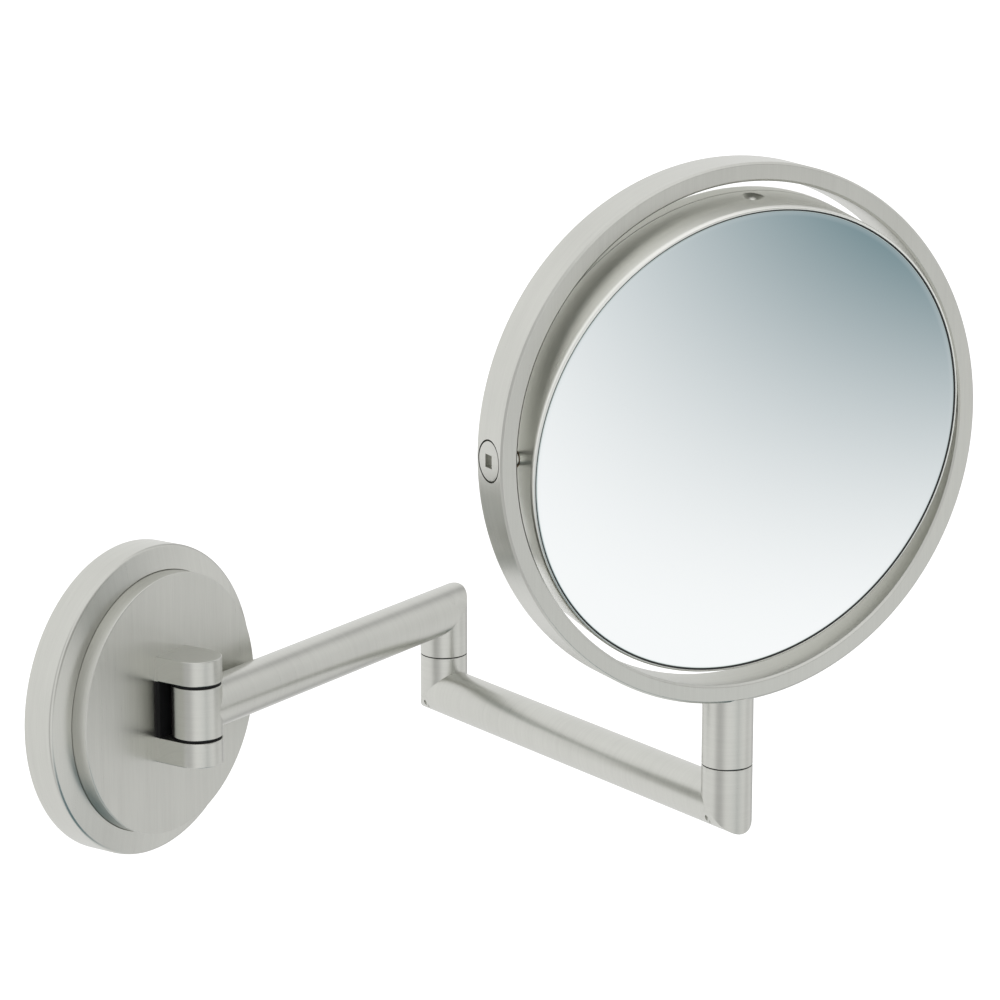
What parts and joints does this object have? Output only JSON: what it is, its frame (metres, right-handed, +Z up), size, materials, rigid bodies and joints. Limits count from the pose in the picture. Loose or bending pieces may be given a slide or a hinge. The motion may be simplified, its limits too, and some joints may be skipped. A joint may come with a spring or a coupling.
{
  "type": "extendable shaving mirror",
  "caption": "Round wall-mounted magnifying mirror that tips inside a yoke ring, carried on a double swinging arm from a stepped round wall plate.",
  "frame": {"origin": "centre of the wall plate's back face, on the wall", "axes": "+Z up, wall in the plane Y = 0, the mirror stands out of the wall along -Y, +X to the right of a person who faces the wall"},
  "size_m": [0.2918, 0.2931, 0.3064],
  "materials": {
    "satin_nickel": "satin brushed nickel plate",
    "zinc_steel": "zinc plated steel",
    "black_nylon": "matt moulded nylon",
    "sintered_bronze": "oiled sintered bronze",
    "mirror_glass": "silvered glass",
    "gasket_rubber": "matt black rubber",
    "core_foam": "closed-cell foam"
  },
  "bodies": {
    "wall_plate": {"wall_bracket": "zinc_steel", "flange_cover": "satin_nickel", "cover_grub_screw": "zinc_steel", "raised_disc": "satin_nickel", "disc_screws": "zinc_steel", "backing_plate": "zinc_steel", "hinge_bracket": "satin_nickel", "bracket_screws": "zinc_steel", "hinge_pin": "zinc_steel", "slot_liner": "black_nylon"},
    "inner_arm": {"wall_barrel": "satin_nickel", "hinge_bushes": "black_nylon", "inner_arm_tube": "satin_nickel", "inner_elbow": "satin_nickel", "elbow_pivot_screw": "zinc_steel", "elbow_spring_washers": "zinc_steel"},
    "outer_arm": {"outer_elbow": "satin_nickel", "elbow_bush": "sintered_bronze", "elbow_friction_washer": "black_nylon", "outer_arm_tube": "satin_nickel", "post_elbow": "satin_nickel", "post_bush": "sintered_bronze", "post_friction_washer": "black_nylon", "lock_screws": "zinc_steel"},
    "head": {"post": "satin_nickel", "post_pivot_screw": "zinc_steel", "post_spring_washers": "zinc_steel", "post_stud": "zinc_steel", "yoke_ring": "satin_nickel", "pivot_screws": "satin_nickel", "pivot_spacers": "satin_nickel"},
    "mirror": {"mirror_frame": "satin_nickel", "rear_bezel": "satin_nickel", "spacer_ring": "black_nylon", "pivot_bushes": "sintered_bronze", "frame_set_screw": "zinc_steel", "front_glass": "mirror_glass", "front_gasket": "gasket_rubber", "rear_glass": "mirror_glass", "rear_gasket": "gasket_rubber", "foam_core": "core_foam"}
  },
  "joints": [
    {"name": "wall_swing", "type": "hinge", "parent": "wall_plate", "child": "inner_arm", "pos_m": [0, -0.0381, 0], "axis": [0, 0, 1], "range_deg": [-182, 0]},
    {"name": "elbow_swing", "type": "hinge", "parent": "inner_arm", "child": "outer_arm", "pos_m": [0.18776, -0.03417, -0.0205], "axis": [0, 0, 1], "range_deg": [-25, 245]},
    {"name": "head_swivel", "type": "hinge", "parent": "outer_arm", "child": "head", "pos_m": [0.11806, -0.23099, -0.0205], "axis": [0, 0, 1], "range_deg": [-180, 180]},
    {"name": "mirror_tilt", "type": "hinge", "parent": "head", "child": "mirror", "pos_m": [0.11806, -0.23099, 0.1241], "axis": [0.8862, -0.4633, 0], "continuous": true}
  ]
}
